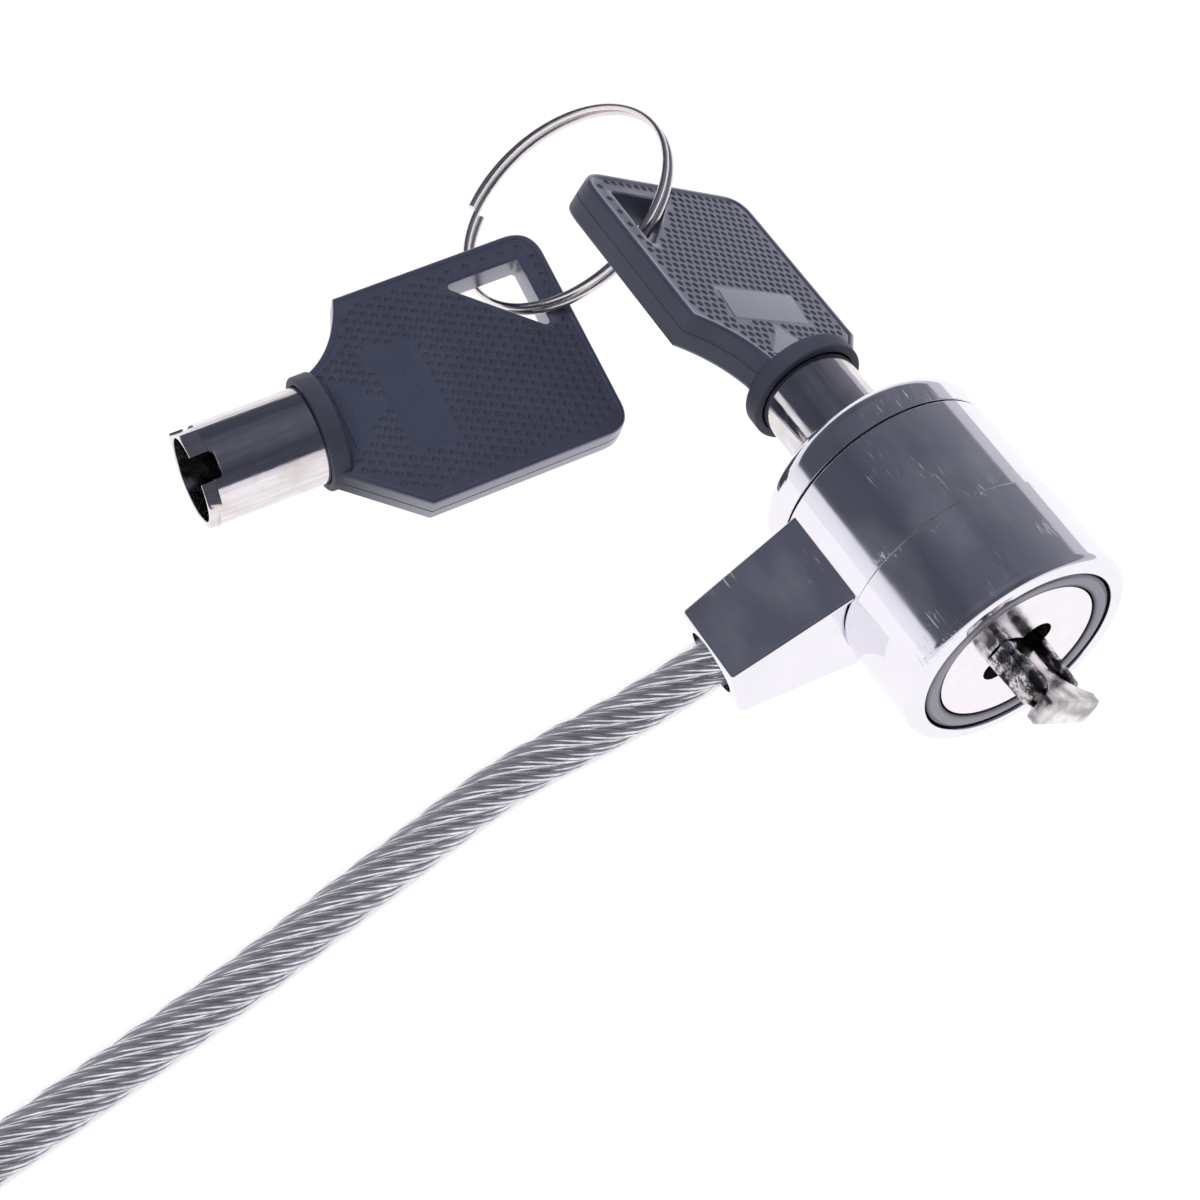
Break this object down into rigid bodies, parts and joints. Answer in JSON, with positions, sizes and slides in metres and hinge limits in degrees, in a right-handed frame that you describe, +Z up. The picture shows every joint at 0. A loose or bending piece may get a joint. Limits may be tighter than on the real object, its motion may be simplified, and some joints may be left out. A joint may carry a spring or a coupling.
{
  "type": "laptop cable lock",
  "caption": "Laptop security lock: a tubular-key cylinder with a turning locking bar, a swivel collar carrying a looped steel cable, and a second key on a split ring.",
  "frame": {"origin": "centre of the locking bar's flat tip, on the lock's axis", "axes": "+X along the lock's axis, out of the locking bar's tip; +Z up; the cable leaves towards -Y and the keys are at -X"},
  "size_m": [0.1285, 0.2084, 0.0216],
  "materials": {
    "chrome": "bright chrome plating with fine handling scratches",
    "face_metal": "polished plate with faint turning marks",
    "soft_ring": "satin black rubber",
    "bar_nickel": "nickel plated casting",
    "key_nickel": "nickel plated tube with drawing marks",
    "ring_steel": "plated spring wire",
    "key_plastic": "moulded plastic with dimpled faces",
    "cable_vinyl": "clear vinyl sleeve",
    "rope_steel": "stranded steel wire rope",
    "crimp_metal": "pressed ferrule",
    "inner_steel": "turned steel",
    "inner_brass": "turned brass"
  },
  "bodies": {
    "lock_body": {"core_housing": "inner_steel", "nose_shell": "chrome", "face_ring": "soft_ring", "face_plate": "face_metal", "guide_fork": "chrome", "rear_cap": "chrome", "seam_washer": "soft_ring", "stator": "inner_brass", "stator_pin": "inner_steel", "driver_pin_1": "inner_steel", "driver_pin_2": "inner_steel", "driver_pin_3": "inner_steel", "driver_pin_4": "inner_steel", "driver_pin_5": "inner_steel", "driver_pin_6": "inner_steel", "driver_pin_7": "inner_steel", "pin_spring_1": "inner_steel", "pin_spring_2": "inner_steel", "pin_spring_3": "inner_steel", "pin_spring_4": "inner_steel", "pin_spring_5": "inner_steel", "pin_spring_6": "inner_steel", "pin_spring_7": "inner_steel"},
    "rotor": {"rotor": "inner_brass", "spindle": "inner_steel", "thrust_washer": "inner_brass", "retaining_clip": "inner_steel", "drive_coupler": "inner_steel", "coupler_pin": "inner_steel", "locking_bar": "bar_nickel", "key_pin_1": "inner_brass", "key_pin_2": "inner_brass", "key_pin_3": "inner_brass", "key_pin_4": "inner_brass", "key_pin_5": "inner_brass", "key_pin_6": "inner_brass", "key_pin_7": "inner_brass"},
    "cable_collar": {"swivel_collar": "chrome"},
    "cable": {"cable_anchor": "crimp_metal", "cable_sleeve": "cable_vinyl", "steel_rope": "rope_steel", "loop_crimp": "crimp_metal"},
    "main_key": {"key_barrel": "key_nickel", "key_head": "key_plastic"},
    "ring": {"key_ring": "ring_steel"},
    "spare_key": {"spare_key_barrel": "key_nickel", "spare_key_head": "key_plastic"}
  },
  "joints": [
    {"name": "collar_swivel", "type": "hinge", "parent": "lock_body", "child": "cable_collar", "pos_m": [-0.02115, 0, 0], "axis": [1, 0, 0], "continuous": true},
    {"name": "cable_twist", "type": "hinge", "parent": "cable_collar", "child": "cable", "pos_m": [-0.02115, -0.01466, -0.00317], "axis": [0, -0.9774, -0.2113], "continuous": true},
    {"name": "key_turn", "type": "hinge", "parent": "lock_body", "child": "rotor", "pos_m": [-0.0274, 0, 0], "axis": [1, 0, 0], "range_deg": [0, 90]},
    {"name": "key_withdraw", "type": "slide", "parent": "rotor", "child": "main_key", "axis": [-1, 0, 0], "range_m": [0, 0.016]},
    {"name": "ring_swing", "type": "hinge", "parent": "main_key", "child": "ring", "pos_m": [-0.05993, -0.00481, 0.00343], "axis": [-0.3542, 0.8605, 0.3662], "range_deg": [-30, 90]},
    {"name": "spare_key_swing", "type": "hinge", "parent": "ring", "child": "spare_key", "pos_m": [-0.06433, -0.01624, -0.00426], "axis": [0.8208, 0.3519, 0.4499], "range_deg": [-75, 30]}
  ]
}
